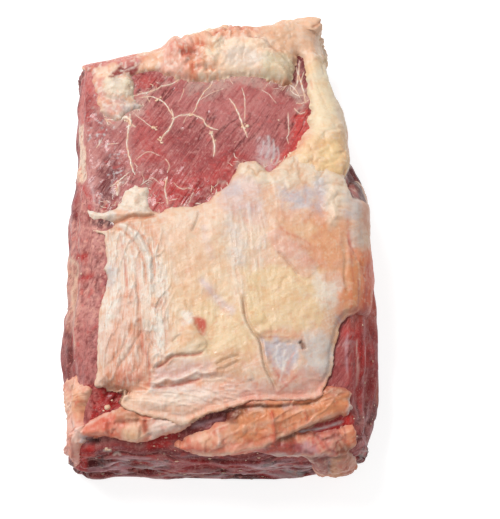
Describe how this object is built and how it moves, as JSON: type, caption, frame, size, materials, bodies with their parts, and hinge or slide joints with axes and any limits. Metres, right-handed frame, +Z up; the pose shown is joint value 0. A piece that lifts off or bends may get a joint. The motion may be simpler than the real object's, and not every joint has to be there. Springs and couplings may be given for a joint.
{
  "type": "raw cote de boeuf",
  "caption": "Whole piece of raw beef rib laid flat with its fat side up: a dark red lean core under a folded cap of cream fat, with smaller pads of fat at the cut end.",
  "frame": {"origin": "under the middle of the piece's bounding box, on the surface that it lies on", "axes": "+Y along the piece, away from the cut end; +Z up through its thickness, out of the fat side; +X to the right"},
  "size_m": [0.2741, 0.4124, 0.115],
  "materials": {
    "lean": "moist dark red muscle with pale veins",
    "cap_fat": "moist cream to pale yellow fat with pink and silver patches",
    "pad_fat": "moist peach fat with red marks"
  },
  "bodies": {
    "root": {"lean": "lean", "fat_cap": "cap_fat", "front_fat": "pad_fat", "corner_fat": "pad_fat"}
  },
  "joints": []
}
